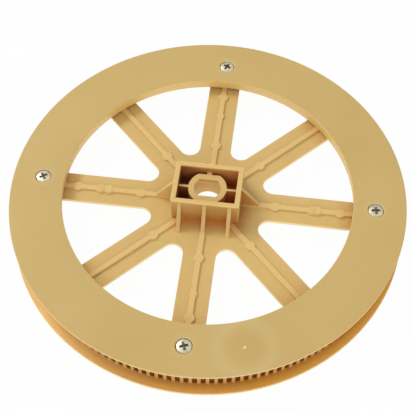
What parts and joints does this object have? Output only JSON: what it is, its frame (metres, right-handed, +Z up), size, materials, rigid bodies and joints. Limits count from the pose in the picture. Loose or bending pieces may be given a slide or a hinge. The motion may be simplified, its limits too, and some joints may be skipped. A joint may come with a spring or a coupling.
{
  "type": "gear wheel",
  "caption": "moulded plastic toothed wheel with spokes, a rectangular hub box round a shaft collar, and a screwed-on ring plate as its upper flange",
  "frame": {"origin": "the middle of the lower flange's underside, on the bore's axis, at the part's lowest level", "axes": "+Z up along the bore from the lower flange to the hub, +X along the hub box's long side and along one spoke, +Y along its short side"},
  "size_m": [0.247, 0.247, 0.0336],
  "materials": {
    "wheel_plastic": "moulded orange-tan plastic with a soft sheen",
    "plate_plastic": "moulded tan plastic, a little duller than the wheel",
    "screw_steel": "bright plated steel"
  },
  "bodies": {
    "root": {"toothed_wheel": "wheel_plastic", "ring_plate": "plate_plastic", "ring_screws": "screw_steel"}
  },
  "joints": []
}
